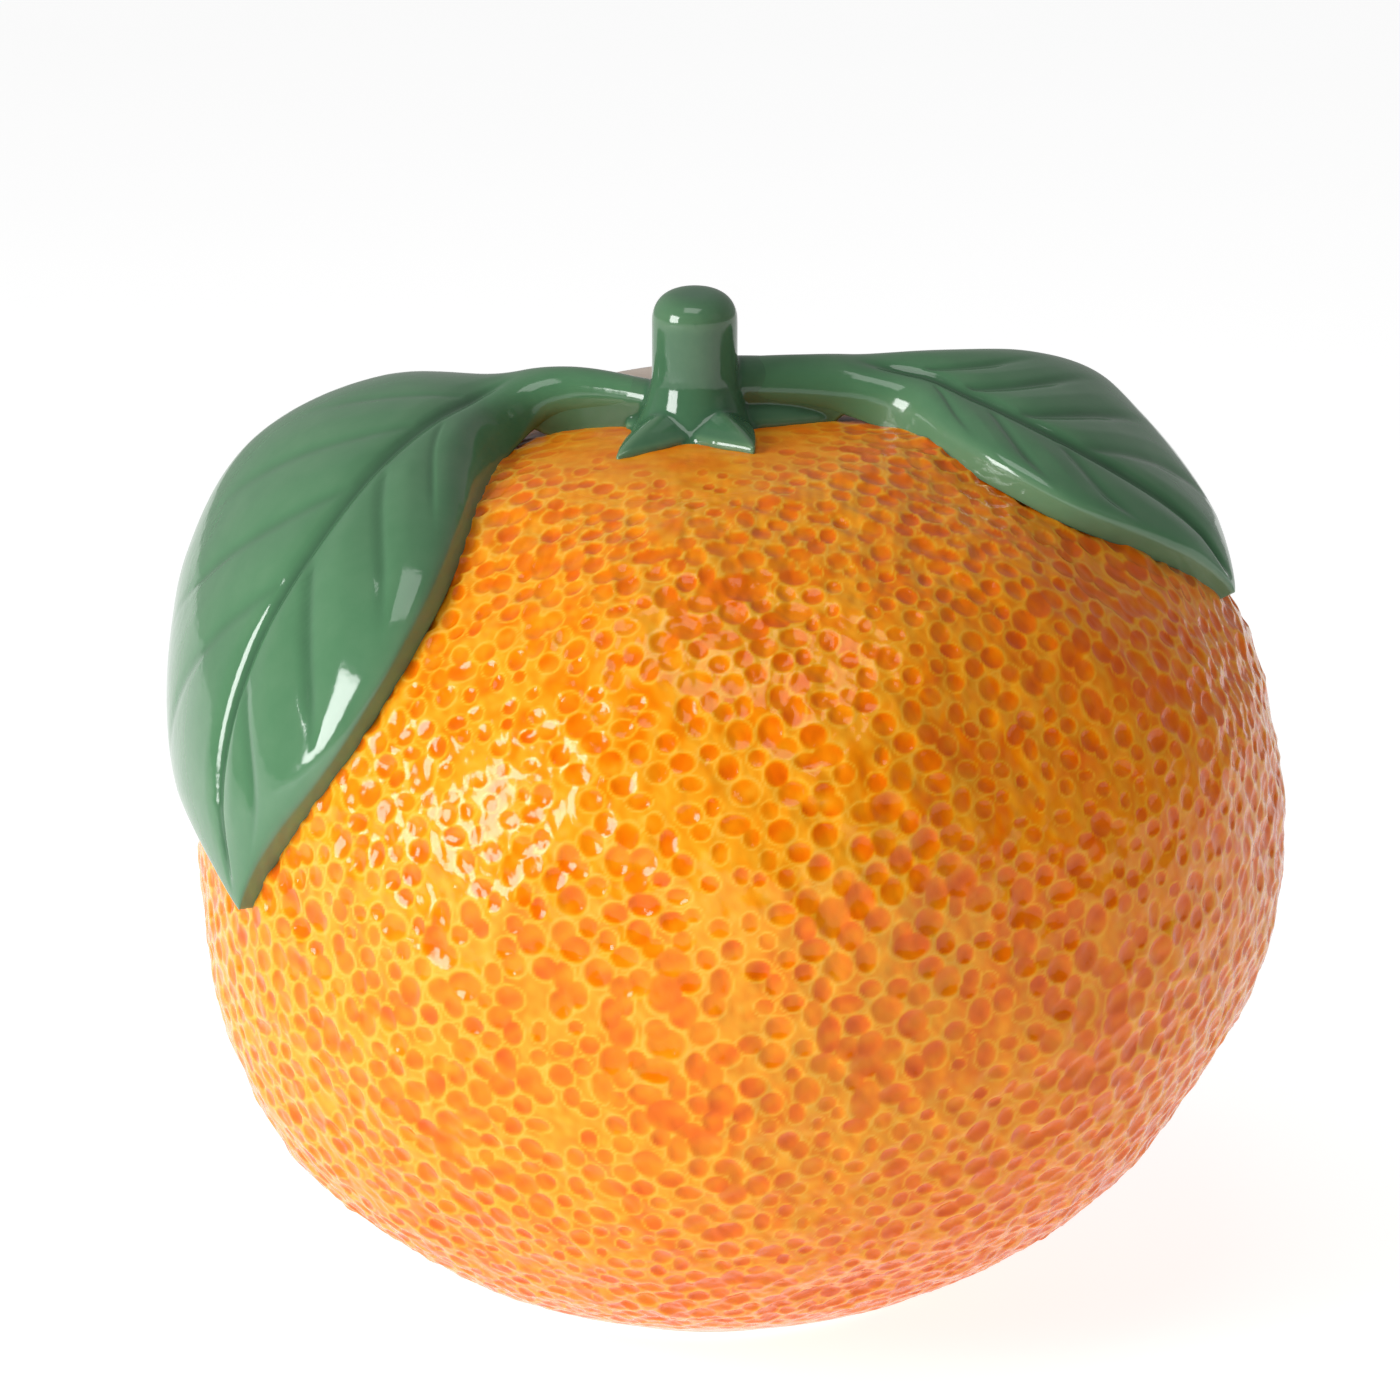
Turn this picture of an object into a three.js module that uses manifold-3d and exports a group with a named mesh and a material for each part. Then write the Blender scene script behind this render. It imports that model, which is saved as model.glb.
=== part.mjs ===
// A ceramic vase shaped like an orange: a hollow fruit body on a foot ring, an oval mouth behind a short
// stem, a calyx of five sepals, and two leaves on stalks that drape over the shoulders.
// Millimetres, +Z up, the front of the vase faces -Y. The origin is on the table, under the middle of the
// vase's bounding box.
import * as THREE from "three";
import { mergeVertices } from "three/addons/utils/BufferGeometryUtils.js";
import Module from "manifold-3d";

const wasm = await Module();
wasm.setup();

// ---- Driving dimensions ----
const GAP = 0.35; // between neighbouring pieces
const AXIS_X = -2.55; // the foot's centre; every other X below is measured from it

const EQUATOR_RADIUS = 100;
const EQUATOR_Z = 85; // widest level above the table
const CROWN = { height: 80, power: 2.39 }; // upper half: rise above the equator, roundness
const BASE = { height: 89, power: 2.09 }; // lower half, if it went on down to a point
const LEAN = 0.056; // sideways shift per unit of height: the fruit stands a little askew
const WALL = 5;
const FLOOR_Z = 11.5; // inside floor

const FOOT = { innerRadius: 28, bottomRadius: 34, height: 2, chamfer: 0.4 };
const RECESS_Z = 6.5; // hollow underside inside the foot ring

const MOUTH = { x: 5, y: 24, halfWidth: 28, halfDepth: 18 }; // clear oval opening
const LIP = { radius: 3.5, z: 160.6, rise: 2.4 }; // rolled rim; it rises towards the back

const STEM = {
  x: -2.8,
  y: -12,
  top: 189,
  radius: 7.7,
  flareRadius: 10.3,
  flareHeight: 9,
  roundover: 5.5,
  dome: 0.7, // 1 for a round shoulder, less for a squarer one
  tilt: 5, // degrees: the top leans towards the front
};

// Sepals: compass bearing from the stem (0 = +X, 90 = +Y), reach from the stem's axis, widest half-width
// on the clockwise and the anticlockwise side, and thickness along the crest.
const SEPALS = {
  front_left: { bearing: -128, reach: 22.5, clockwise: 7.5, anticlockwise: 6, crest: 4.5 },
  front_right: { bearing: -60, reach: 21.5, clockwise: 6, anticlockwise: 7.5, crest: 4.5 },
  right: { bearing: 10, reach: 24.5, clockwise: 5, anticlockwise: 4, crest: 3 },
  rear: { bearing: 88, reach: 14.5, clockwise: 5, anticlockwise: 5, crest: 2.5 },
  left: { bearing: 163, reach: 20, clockwise: 4, anticlockwise: 4.5, crest: 3 },
};
const SEPAL_EDGE = 1.4; // thickness at the margin
const SEPAL_TAPER = 1.3; // fullness of the outline towards the tip
const SEPAL_TIP = 0.06; // width left at the tip, as a share of the widest
const CREST_FADE = 0.6; // how late the crest sinks towards the tip

// Leaf sprigs, each as three rails from the stem to the leaf tip: the near margin, the midrib and the far
// margin. A knot is [east, north, height]: distances from the fruit's top, wrapped over the fruit as over
// a ball of WRAP_RADIUS, and the height of the middle of the leaf's thickness above the skin.
// As shares of the rails, start: where the stalk begins, clear of the stem's flare; bladeRoot: where it
// starts to flatten; joint: where it ends. rootThickness: of the stalk at the stem.
const WRAP_RADIUS = 90;
const SPRIGS = {
  left: {
    near: [
      [-10, -15.5, 3.2],
      [-33, -6.5, 6.2],
      [-44, -12.5, 4],
      [-48, -28.5, 3],
      [-50.5, -47, 2.5],
      [-56.5, -64.5, 2.5],
      [-69, -76.5, 2.5],
      [-87.5, -81, 2.5],
      [-119, -75, 2.5],
    ],
    midrib: [
      [-10, -11, 3.4],
      [-32.5, -1.8, 6.8],
      [-43.5, -5.5, 8],
      [-51.5, -17, 10],
      [-61, -30, 10.5],
      [-73, -42.5, 9.5],
      [-89, -50.5, 7],
      [-105.5, -60, 4.5],
      [-119, -75, 2.5],
    ],
    far: [
      [-10, -6, 3.4],
      [-31.5, 3.2, 7.6],
      [-43, 7.5, 9.5],
      [-59, 9.5, 17.5],
      [-80, 9.5, 21],
      [-99, 7, 16],
      [-112, 2.5, 10.5],
      [-127, -18.5, 3.5],
      [-119, -75, 2.5],
    ],
    rootThickness: 6.4,
    start: 0.058,
    bladeRoot: 0.11,
    joint: 0.17,
  },
  right: {
    near: [
      [-5, -15.5, 6],
      [13.5, -11.2, 5],
      [24, -10.5, 4],
      [32, -14, 3],
      [38.5, -24, 2.5],
      [48.5, -34, 2.5],
      [61.5, -38, 2.5],
      [77.5, -31, 2.5],
      [95, -17, 2.5],
    ],
    midrib: [
      [-5, -11, 7.2],
      [12.5, -6.5, 6.6],
      [22, -5, 7],
      [32.5, -7, 8],
      [42, -13.5, 7],
      [52.5, -20, 6.5],
      [65, -22, 5.5],
      [80.5, -19, 4],
      [95, -17, 2.5],
    ],
    far: [
      [-5, -6.5, 7.5],
      [11.5, -1.8, 8],
      [22.5, 3, 8],
      [37, 4, 12],
      [49, 10, 15],
      [59.5, 14, 15.5],
      [69.5, 12, 12],
      [84.5, 3, 6.5],
      [95, -17, 2.5],
    ],
    rootThickness: 8.8,
    start: 0.066,
    bladeRoot: 0.15,
    joint: 0.21,
  },
};
const STALK_THICKNESS = 9.2;
const STALK_SWELL = 0.11; // share over which the stalk grows from its root to its full thickness
const JOINT_GAP = 0.004; // between a stalk and its blade
const TIP_END = 0.995;
const TIP_TAPER = 0.1; // last share of a blade, which thins out to the tip
const ROOT_LENGTH = 0.22; // share over which the round stalk flattens into the blade
const BLADE_THICKNESS = 5;
const BLADE_EDGE = 4.2; // of a blade's section: 2 for an ellipse, more for a squarer edge
const BLADE_SEAT = 0.8; // height of a blade's underside where it rests on the fruit
const SEAT_END = [0.4, 0.75]; // shares of the far half-blade over which its underside lifts off

// ---- Materials ----
const orangeGlaze = new THREE.MeshStandardMaterial({ color: 0xf0941e, roughness: 0.12, metalness: 0 });
const greenGlaze = new THREE.MeshStandardMaterial({ color: 0x4f8a60, roughness: 0.1, metalness: 0 });
const bareClay = new THREE.MeshStandardMaterial({ color: 0xe6dccb, roughness: 0.75, metalness: 0 });

// ---- The fruit's skin: a leaning superellipsoid ----
const CORE = new THREE.Vector3(LEAN * EQUATOR_Z, 0, EQUATOR_Z);

// How far out a point lies: 1 on the skin, along the ray from the core through the point.
function skinRatio(point) {
  const z = point.z - EQUATOR_Z;
  const radial = Math.hypot(point.x - LEAN * point.z, point.y);
  const { height, power } = z > 0 ? CROWN : BASE;
  return ((radial / EQUATOR_RADIUS) ** power + (Math.abs(z) / height) ** power) ** (1 / power);
}

// The point moved along its ray from the core until it is the given height off the skin.
function offSkin(point, height) {
  const ray = point.clone().sub(CORE);
  return ray.multiplyScalar(1 / skinRatio(point) + height / ray.length()).add(CORE);
}

// The point at wrapped distances from the fruit's top and at a height off the skin.
function draped(east, north, height) {
  const tilt = Math.hypot(east, north) / WRAP_RADIUS;
  const ray = new THREE.Vector3(east, north, 0).setLength(Math.sin(tilt)).setZ(Math.cos(tilt));
  return offSkin(ray.multiplyScalar(EQUATOR_RADIUS).add(CORE), height);
}

// The point on the crown above (x, y), at the given height off the skin.
function onCrown(x, y, height) {
  const point = new THREE.Vector3(x, y, EQUATOR_Z + CROWN.height);
  for (let pass = 0; pass < 6; pass++) {
    point.z = offSkin(point, height).z;
  }
  return point;
}

// Radius of the skin, shrunk by an inset, at a level z.
function skinRadius(z, inset = 0) {
  const rise = z - EQUATOR_Z;
  const { height, power } = rise > 0 ? CROWN : BASE;
  const share = Math.abs(rise) / (height - inset);
  return (EQUATOR_RADIUS - inset) * (1 - share ** power) ** (1 / power);
}

// Profile of the skin from level z up to the top, as (radius, z) points.
function skinProfile(fromZ, inset, steps) {
  const start = new THREE.Vector2(skinRadius(fromZ, inset), fromZ);
  const startTurn = Math.atan2(
    (fromZ - EQUATOR_Z) / (BASE.height - inset),
    start.x / (EQUATOR_RADIUS - inset),
  );
  const profile = [start];
  for (let i = 1; i < steps; i++) {
    const turn = startTurn + (i / steps) * (Math.PI / 2 - startTurn);
    const { height, power } = turn > 0 ? CROWN : BASE;
    const stretch = (Math.cos(turn) ** power + Math.abs(Math.sin(turn)) ** power) ** (-1 / power);
    profile.push(
      new THREE.Vector2(
        (EQUATOR_RADIUS - inset) * Math.cos(turn) * stretch,
        EQUATOR_Z + (height - inset) * Math.sin(turn) * stretch,
      ),
    );
  }
  profile.push(new THREE.Vector2(0, EQUATOR_Z + CROWN.height - inset));
  return profile;
}

// ---- Geometry helpers ----
const uprightLathe = (profile, segments) =>
  new THREE.LatheGeometry(profile, segments).rotateX(Math.PI / 2);
const leaning = new THREE.Matrix4().makeShear(0, 0, 0, 0, LEAN, 0);

// One closed skin through rings of points; the last ring joins the first when closed is true.
function loft(rings, closed = false) {
  const count = rings[0].length;
  const positions = rings.flat().flatMap((p) => [p.x, p.y, p.z]);
  const indices = [];
  const spans = closed ? rings.length : rings.length - 1;
  for (let i = 0; i < spans; i++) {
    const here = i * count;
    const next = ((i + 1) % rings.length) * count;
    for (let j = 0; j < count; j++) {
      const k = (j + 1) % count;
      indices.push(here + j, here + k, next + k, here + j, next + k, next + j);
    }
  }
  if (!closed) {
    [0, rings.length - 1].forEach((ring) => {
      const middle = rings[ring]
        .reduce((sum, p) => sum.add(p), new THREE.Vector3())
        .divideScalar(count);
      const hub = positions.push(middle.x, middle.y, middle.z) / 3 - 1;
      for (let j = 0; j < count; j++) {
        const edge = [ring * count + j, ring * count + ((j + 1) % count)];
        indices.push(hub, ...(ring === 0 ? edge.reverse() : edge));
      }
    });
  }
  const geometry = new THREE.BufferGeometry();
  geometry.setAttribute("position", new THREE.Float32BufferAttribute(positions, 3));
  geometry.setIndex(indices);
  return geometry;
}

function toSolid(geometry) {
  const bare = geometry.clone();
  bare.deleteAttribute("normal");
  bare.deleteAttribute("uv");
  const merged = mergeVertices(bare, 1e-4);
  const corners = merged.index.array;
  const kept = [];
  for (let i = 0; i < corners.length; i += 3) {
    const [a, b, c] = corners.slice(i, i + 3);
    if (a !== b && b !== c && c !== a) kept.push(a, b, c);
  }
  const mesh = new wasm.Mesh({
    numProp: 3,
    vertProperties: merged.attributes.position.array,
    triVerts: new Uint32Array(kept),
  });
  const solid = new wasm.Manifold(mesh);
  if (solid.volume() > 0) return solid;
  for (let i = 0; i < kept.length; i += 3) {
    [kept[i + 1], kept[i + 2]] = [kept[i + 2], kept[i + 1]];
  }
  mesh.triVerts = new Uint32Array(kept);
  return new wasm.Manifold(mesh);
}

function toGeometry(solid) {
  const { vertProperties, triVerts, numProp } = solid.getMesh();
  const positions = [];
  for (let i = 0; i < vertProperties.length; i += numProp) {
    positions.push(...vertProperties.slice(i, i + 3));
  }
  const geometry = new THREE.BufferGeometry();
  geometry.setAttribute("position", new THREE.Float32BufferAttribute(positions, 3));
  geometry.setIndex([...triVerts]);
  geometry.computeVertexNormals();
  return geometry;
}

// ---- Body shell ----
// A point on the oval around the mouth, grown by the given margin.
function mouthPoint(turn, margin, z) {
  return new THREE.Vector3(
    MOUTH.x + (MOUTH.halfWidth + margin) * Math.cos(turn),
    MOUTH.y + (MOUTH.halfDepth + margin) * Math.sin(turn),
    z,
  );
}

function lipSolid(steps = 40, sides = 10) {
  const rings = [];
  for (let i = 0; i < steps; i++) {
    const turn = (i / steps) * 2 * Math.PI;
    const z = LIP.z + LIP.rise * Math.sin(turn);
    const ring = [];
    for (let j = 0; j < sides; j++) {
      const around = (j / sides) * 2 * Math.PI;
      ring.push(mouthPoint(turn, LIP.radius * (1 + Math.cos(around)), z + LIP.radius * Math.sin(around)));
    }
    rings.push(ring);
  }
  return toSolid(loft(rings, true));
}

function openingSolid(steps = 40) {
  const oval = (z) =>
    Array.from({ length: steps }, (_, i) => mouthPoint((i / steps) * 2 * Math.PI, LIP.radius, z));
  return toSolid(loft([oval(FLOOR_Z + EQUATOR_Z), oval(STEM.top)]));
}

function bodyShell() {
  const seatZ = FOOT.height + GAP;
  const outline = [
    new THREE.Vector2(0, RECESS_Z),
    new THREE.Vector2(FOOT.innerRadius, RECESS_Z),
    new THREE.Vector2(FOOT.innerRadius, seatZ),
    ...skinProfile(seatZ, 0, 30),
  ];
  const cavity = [new THREE.Vector2(0, FLOOR_Z), ...skinProfile(FLOOR_Z, WALL, 18)];
  const outside = toSolid(uprightLathe(outline, 60).applyMatrix4(leaning));
  const inside = toSolid(uprightLathe(cavity, 44).applyMatrix4(leaning));
  const shell = outside.subtract(inside).subtract(openingSolid()).add(lipSolid());
  return toGeometry(shell);
}

// ---- Foot ring: the bare clay ring that the vase stands on ----
function footRing() {
  const { innerRadius, bottomRadius, height, chamfer } = FOOT;
  const profile = [
    [innerRadius, chamfer],
    [innerRadius + chamfer, 0],
    [bottomRadius, 0],
    [skinRadius(height) - chamfer, height],
    [innerRadius, height],
    [innerRadius, chamfer],
  ].map(([radius, z]) => new THREE.Vector2(radius, z));
  return toGeometry(toSolid(uprightLathe(profile, 48)));
}

// ---- Stem: a stub with a flared root and a softly domed top ----
function stemRadius(height) {
  const flare = Math.max(0, 1 - height / STEM.flareHeight);
  return STEM.radius + (STEM.flareRadius - STEM.radius) * flare ** 2;
}

function stem() {
  const rootZ = onCrown(STEM.x, STEM.y, GAP).z;
  const length = STEM.top - rootZ;
  const profile = [new THREE.Vector2(0, 0)];
  const straight = length - STEM.roundover;
  for (let i = 0; i <= 8; i++) {
    const height = (i / 8) * straight;
    profile.push(new THREE.Vector2(stemRadius(height), height));
  }
  for (let i = 1; i < 6; i++) {
    const turn = (i / 6) * (Math.PI / 2);
    const radius = STEM.radius * Math.cos(turn) ** STEM.dome;
    profile.push(new THREE.Vector2(radius, straight + STEM.roundover * Math.sin(turn)));
  }
  profile.push(new THREE.Vector2(0, length));
  const geometry = uprightLathe(profile, 28);
  const tiltedTop = Math.tan(THREE.MathUtils.degToRad(STEM.tilt));
  const position = geometry.attributes.position;
  const vertex = new THREE.Vector3();
  for (let i = 0; i < position.count; i++) {
    vertex.fromBufferAttribute(position, i);
    const high = vertex.z / length;
    const x = STEM.x + vertex.x;
    const y = STEM.y + vertex.y - tiltedTop * vertex.z * high;
    const lift = onCrown(x, y, GAP).z - rootZ;
    position.setXYZ(i, x, y, rootZ + vertex.z + lift * (1 - high) ** 3 + tiltedTop * vertex.y * high ** 3);
  }
  return toGeometry(toSolid(geometry));
}

// ---- Leaf sprigs ----
const { lerp, smoothstep } = THREE.MathUtils;

const rail = (knots) =>
  new THREE.CatmullRomCurve3(
    knots.map((knot) => new THREE.Vector3(...knot)),
    false,
    "catmullrom",
  );

// One closed ring across a sprig: a round stalk that flattens into the blade. The middle of the blade's
// underside reaches down to the fruit, and its far margin stays free, like a lip.
function sprigRing(sprig, share, steps, grow) {
  const { near, midrib, far, bladeRoot, rootThickness } = sprig;
  const start = rail(near).getPoint(share);
  const middle = rail(midrib).getPoint(share);
  const end = rail(far).getPoint(share);
  const bend = start.clone().add(end).divideScalar(2).sub(middle);
  const half = end.clone().sub(start).divideScalar(2);
  half.setLength(half.length() + grow);
  const flat = smoothstep(share, bladeRoot, bladeRoot + ROOT_LENGTH);
  const taper = Math.sqrt(Math.min(1, (1 - share) / TIP_TAPER));
  const stalk = lerp(rootThickness, STALK_THICKNESS, smoothstep(share, 0, STALK_SWELL));
  const halfThick = (lerp(stalk, BLADE_THICKNESS, flat) / 2) * taper + grow;
  const edge = lerp(2, BLADE_EDGE, flat);
  const seat = lerp(GAP, BLADE_SEAT, flat);
  const onFace = (i, face) => {
    const s = Math.sin((i / steps - 0.5) * Math.PI);
    const place = middle.clone().addScaledVector(half, s).addScaledVector(bend, s * s);
    const rise = face * halfThick * (1 - Math.abs(s) ** edge) ** (1 / edge);
    const seated = face < 0 ? flat * (1 - smoothstep(s, ...SEAT_END)) : 0;
    return draped(place.x, place.y, Math.max(seat, lerp(place.z + rise, seat, seated)));
  };
  const ring = [];
  for (let i = 0; i <= steps; i++) ring.push(onFace(i, 1));
  for (let i = steps - 1; i > 0; i--) ring.push(onFace(i, -1));
  return ring;
}

function sprigPart(sprig, from, to, stations, steps, grow = 0) {
  const rings = [];
  for (let i = 0; i <= stations; i++) {
    rings.push(sprigRing(sprig, lerp(from, to, i / stations), steps, grow));
  }
  return toSolid(loft(rings));
}

function petiole(sprig, grow = 0) {
  const longer = grow > 0 ? JOINT_GAP : 0;
  return sprigPart(sprig, sprig.start - longer, sprig.joint + longer, 6, 8, grow);
}

const leaf = (sprig) => sprigPart(sprig, sprig.joint + JOINT_GAP, TIP_END, 30, 12);

// ---- Sepals: pointed, folded along the crest, lying on the crown ----
function sepal({ bearing, reach, clockwise, anticlockwise, crest }, stations = 9) {
  const turn = THREE.MathUtils.degToRad(bearing);
  const along = new THREE.Vector2(Math.cos(turn), Math.sin(turn));
  const start = STEM.flareRadius + 2 * GAP;
  const fifths = [-1, -0.5, 0, 0.5, 1];
  const rings = [];
  for (let i = 0; i <= stations; i++) {
    const t = i / stations;
    const distance = lerp(start, reach, t);
    const width = Math.max(SEPAL_TIP, 1 - t ** SEPAL_TAPER);
    const place = (s, height) => {
      const sideways = s * width * (s > 0 ? anticlockwise : clockwise);
      const x = STEM.x + along.x * distance - along.y * sideways;
      const y = STEM.y + along.y * distance + along.x * sideways;
      return onCrown(x, y, GAP + height);
    };
    const rise = (crest - SEPAL_EDGE) * (1 - t) ** CREST_FADE;
    const thickness = (s) => SEPAL_EDGE + rise * (1 - Math.abs(s));
    const under = fifths.map((s) => place(s, 0));
    const over = fifths.map((s) => place(s, thickness(s))).reverse();
    rings.push([...under, ...over]);
  }
  return toSolid(loft(rings));
}

// ---- Assembly ----
const vase = new THREE.Group();

function addPiece(name, geometry, material) {
  const mesh = new THREE.Mesh(geometry, material);
  mesh.name = name;
  mesh.position.x = AXIS_X;
  vase.add(mesh);
}

addPiece("body_shell", bodyShell(), orangeGlaze);
addPiece("foot_ring", footRing(), bareClay);
addPiece("stem", stem(), greenGlaze);

const stalksGrown = Object.values(SPRIGS).map((sprig) => petiole(sprig, GAP));
for (const [name, spec] of Object.entries(SEPALS)) {
  const trimmed = stalksGrown.reduce((piece, stalk) => piece.subtract(stalk), sepal(spec));
  addPiece("sepal_" + name, toGeometry(trimmed), greenGlaze);
}
for (const [name, sprig] of Object.entries(SPRIGS)) {
  addPiece(name + "_petiole", toGeometry(petiole(sprig)), greenGlaze);
  addPiece(name + "_leaf", toGeometry(leaf(sprig)), greenGlaze);
}

export default vase;
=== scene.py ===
"""An orange-shaped ceramic vase: a dimpled, glazed fruit body, a stem and calyx fused by thick glaze,
and two leaf sprigs draped over its shoulders. Shapes are worked out in millimetres and made in metres."""
import math

import bpy
import numpy as np
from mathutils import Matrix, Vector
from mathutils.kdtree import KDTree


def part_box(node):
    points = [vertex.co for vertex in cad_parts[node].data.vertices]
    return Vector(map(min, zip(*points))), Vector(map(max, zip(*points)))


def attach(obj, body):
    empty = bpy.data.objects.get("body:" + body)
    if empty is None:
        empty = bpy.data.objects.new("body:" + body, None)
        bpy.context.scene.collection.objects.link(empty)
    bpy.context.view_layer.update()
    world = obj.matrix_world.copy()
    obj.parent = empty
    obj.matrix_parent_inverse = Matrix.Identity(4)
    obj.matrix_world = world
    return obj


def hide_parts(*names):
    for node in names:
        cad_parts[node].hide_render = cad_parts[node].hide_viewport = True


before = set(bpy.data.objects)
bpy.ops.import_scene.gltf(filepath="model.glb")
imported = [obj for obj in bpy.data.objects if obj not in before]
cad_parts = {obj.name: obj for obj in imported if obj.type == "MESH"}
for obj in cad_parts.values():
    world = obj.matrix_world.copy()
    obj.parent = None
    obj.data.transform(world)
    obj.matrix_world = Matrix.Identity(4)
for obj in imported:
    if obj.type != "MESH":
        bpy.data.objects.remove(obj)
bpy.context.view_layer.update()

MM = 0.001
rng = np.random.default_rng(20)

# ---- Driving dimensions, in millimetres ----
foot_low, foot_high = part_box("foot_ring")
body_low, body_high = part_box("body_shell")
STEM_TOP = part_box("stem")[1].z / MM
AXIS_X = (foot_low.x + foot_high.x) / 2 / MM  # the foot's centre
EQUATOR_RADIUS = (body_high.y - body_low.y) / 2 / MM
EQUATOR_Z = 85
CROWN_HEIGHT, CROWN_POWER = 80, 2.39
BASE_HEIGHT, BASE_POWER = 89, 2.09
LEAN = 0.056  # sideways shift per unit of height
WALL = 5
FLOOR_Z = 11.5
FOOT_INNER, FOOT_OUTER, FOOT_HEIGHT = 28, 34, 2
RECESS_Z = 6.5
MOUTH_X, MOUTH_Y, MOUTH_HALF_WIDTH, MOUTH_HALF_DEPTH = 5, 24, 28, 18
LIP_RADIUS, LIP_Z, LIP_RISE = 3.5, 160.6, 2.4
STEM_X, STEM_Y, STEM_RADIUS = -2.8, -12, 7.7

CORE = np.array([LEAN * EQUATOR_Z, 0, EQUATOR_Z])
WRAP_RADIUS = 90  # of the ball on which places round the fruit are told


# ---- Numeric helpers ----
def smoothstep(value, low, high):
    share = np.clip((value - low) / (high - low), 0, 1)
    return share * share * (3 - 2 * share)


def mix(a, b, share):
    return a + (b - a) * share


def soft_max(a, b, blend):
    return (a + b + np.sqrt((a - b) ** 2 + blend**2)) / 2


def waves(points, wavelength, count, seed):
    """A smooth random field with about unit variance: plane waves of nearly one wavelength."""
    dice = np.random.default_rng(seed)
    ways = dice.normal(size=(count, 3))
    ways /= np.linalg.norm(ways, axis=1)[:, None]
    lengths = wavelength * np.exp(dice.normal(0, 0.35, count))
    phases = dice.uniform(0, 2 * np.pi, count)
    total = np.zeros(len(points))
    for way, length, phase in zip(ways, lengths, phases):
        total += np.cos(points @ (way * (2 * np.pi / length)) + phase)
    return total * math.sqrt(2 / count)


# ---- Fruit skin: a leaning superellipsoid ----
def skin_distance(direction):
    """How far the skin is from the core along unit directions."""
    x = direction[..., 0] - LEAN * direction[..., 2]
    radial = np.hypot(x, direction[..., 1]) / EQUATOR_RADIUS
    rise = direction[..., 2]
    height = np.where(rise > 0, CROWN_HEIGHT, BASE_HEIGHT)
    power = np.where(rise > 0, CROWN_POWER, BASE_POWER)
    return (radial**power + (np.abs(rise) / height) ** power) ** (-1 / power)


def draped(east, north, height):
    """The point at a height off the skin, over a place given by its wrapped distances from the top."""
    tilt = np.hypot(east, north) / WRAP_RADIUS
    bearing = np.arctan2(north, east)
    flat = np.sin(tilt)
    direction = np.stack([flat * np.cos(bearing), flat * np.sin(bearing), np.cos(tilt)], -1)
    return CORE + direction * (skin_distance(direction) + height)[..., None]


def crown_z(x, y, inset=0):
    """Level of the crown, or of the inside wall below it, over (x, y)."""
    z = np.full(np.shape(x), float(EQUATOR_Z + CROWN_HEIGHT))
    for _ in range(4):
        radial = np.minimum(np.hypot(x - LEAN * z, y) / (EQUATOR_RADIUS - inset), 1)
        z = EQUATOR_Z + (CROWN_HEIGHT - inset) * (1 - radial**CROWN_POWER) ** (1 / CROWN_POWER)
    return z


# ---- Mesh helpers ----
def add_mesh(name, points, quads, tris=(), smooth=True):
    """A mesh object from points in millimetres, measured from the foot's centre."""
    quads = np.asarray(quads, np.int32).reshape(-1, 4)
    tris = np.asarray(tris, np.int32).reshape(-1, 3)
    shifted = (np.asarray(points, float) + [AXIS_X, 0, 0]) * MM
    corners = np.concatenate([quads.ravel(), tris.ravel()])
    starts = np.concatenate([np.arange(len(quads)) * 4, len(quads) * 4 + np.arange(len(tris)) * 3])
    mesh = bpy.data.meshes.new(name)
    mesh.vertices.add(len(shifted))
    mesh.vertices.foreach_set("co", shifted.astype(np.float32).ravel())
    mesh.loops.add(len(corners))
    mesh.loops.foreach_set("vertex_index", corners.astype(np.int32))
    mesh.polygons.add(len(starts))
    mesh.polygons.foreach_set("loop_start", starts.astype(np.int32))
    mesh.update(calc_edges=True)
    mesh.validate()
    if smooth:
        mesh.shade_smooth()
    piece = bpy.data.objects.new(name, mesh)
    bpy.context.scene.collection.objects.link(piece)
    return piece


def paint(piece, name, values):
    """Stores a value at each vertex, for a material to read."""
    layer = piece.data.attributes.new(name, "FLOAT", "POINT")
    layer.data.foreach_set("value", np.asarray(values, np.float32))


def grid_quads(rows, columns):
    """Faces between the rings of a grid, each ring closed on itself."""
    i = np.arange(rows - 1)[:, None] * columns
    j = np.arange(columns)[None, :]
    k = (j + 1) % columns
    return np.stack([i + j, i + k, i + columns + k, i + columns + j], -1).reshape(-1, 4)


def closed_skin(rings, low_hub, high_hub):
    """Points, quads and tris of a closed skin through rings, its ends closed by fans to the hubs."""
    rows, columns = rings.shape[:2]
    j = np.arange(columns)
    k = (j + 1) % columns
    first_hub = rows * columns
    last_row = (rows - 1) * columns
    low = np.stack([np.full(columns, first_hub), k, j], -1)
    high = np.stack([np.full(columns, first_hub + 1), last_row + j, last_row + k], -1)
    points = np.concatenate([rings.reshape(-1, 3), [low_hub], [high_hub]])
    return points, grid_quads(rows, columns), np.concatenate([low, high])


def loft(rings):
    """A closed skin through rings, its flat ends fanned from their middles."""
    return closed_skin(rings, rings[0].mean(0), rings[-1].mean(0))


def grid_normals(rings):
    """Outward unit normals of a grid of points, whose rows run round."""
    along = np.gradient(rings, axis=0)
    around = np.roll(rings, -1, axis=1) - np.roll(rings, 1, axis=1)
    normal = np.cross(around, along)
    normal /= np.maximum(np.linalg.norm(normal, axis=-1), 1e-9)[..., None]
    outward = (normal * (rings - CORE)).sum(-1, keepdims=True)
    return normal * np.sign(outward)


# ---- Materials ----
def new_material(name, roughness):
    material = bpy.data.materials.new(name)
    material.use_nodes = True
    shader = material.node_tree.nodes["Principled BSDF"]
    shader.inputs["Roughness"].default_value = roughness
    return material, material.node_tree, shader


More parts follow.
